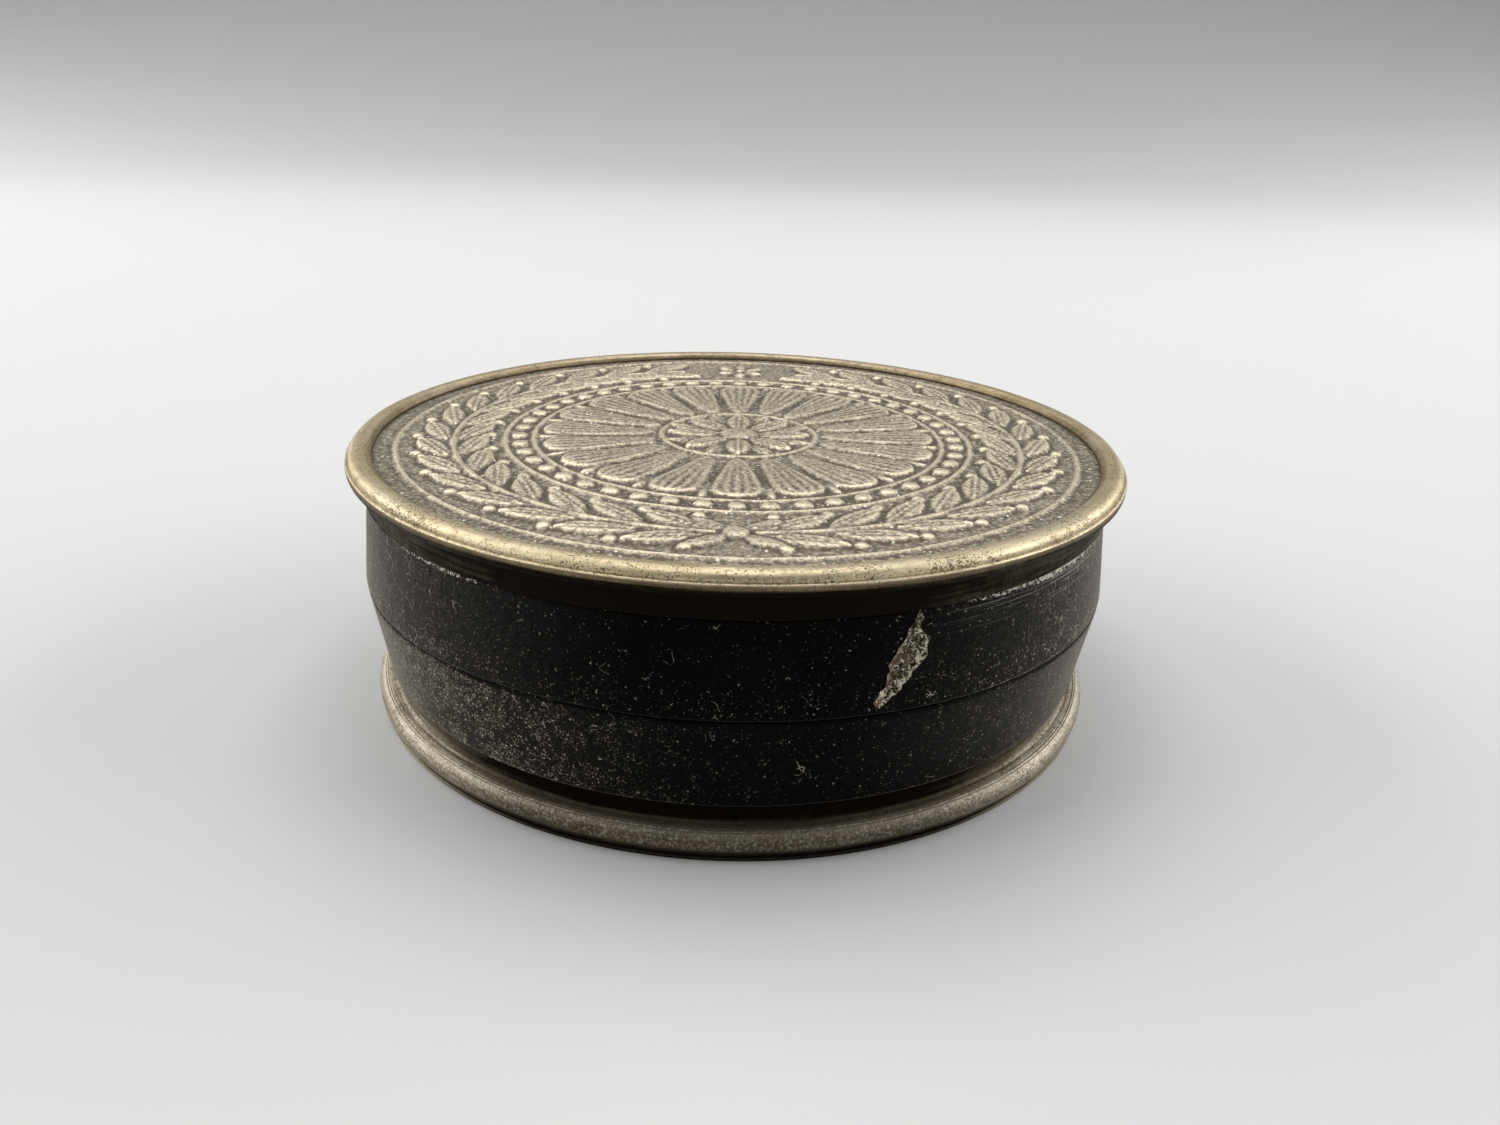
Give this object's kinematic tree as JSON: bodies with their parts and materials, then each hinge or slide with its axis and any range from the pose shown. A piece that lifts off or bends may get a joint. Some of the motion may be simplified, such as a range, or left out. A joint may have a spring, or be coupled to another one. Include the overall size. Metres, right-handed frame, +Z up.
{
  "type": "snuff box",
  "caption": "Low round snuff box with black lacquered walls, a deep pull-off lid set with a struck brass medallion, brass rims and an inner throat ring that guides the lid.",
  "frame": {"origin": "on the box's axis at the level of the table it stands on", "axes": "+Z up along the box's axis, -Y towards the side with the wreath's foot, which faces the viewer in the picture, +X to the viewer's right"},
  "size_m": [0.08, 0.08, 0.027],
  "materials": {
    "black_lacquer": "satin",
    "pasted_paper": "matte",
    "shell_lining": "gloss",
    "rim_brass": "satin",
    "foot_brass": "satin",
    "medal_brass": "satin"
  },
  "bodies": {
    "base": {"base_wall": "black_lacquer", "throat_ring": "shell_lining", "base_floor": "pasted_paper", "base_lining": "shell_lining", "base_plate": "foot_brass", "foot_bezel": "foot_brass"},
    "lid": {"lid_wall": "black_lacquer", "lid_panel": "pasted_paper", "lid_lining": "shell_lining", "medallion": "medal_brass", "lid_bezel": "rim_brass"}
  },
  "joints": [
    {"name": "lid_lift", "type": "slide", "parent": "base", "child": "lid", "axis": [0, 0, 1], "range_m": [0, 0.04]}
  ]
}
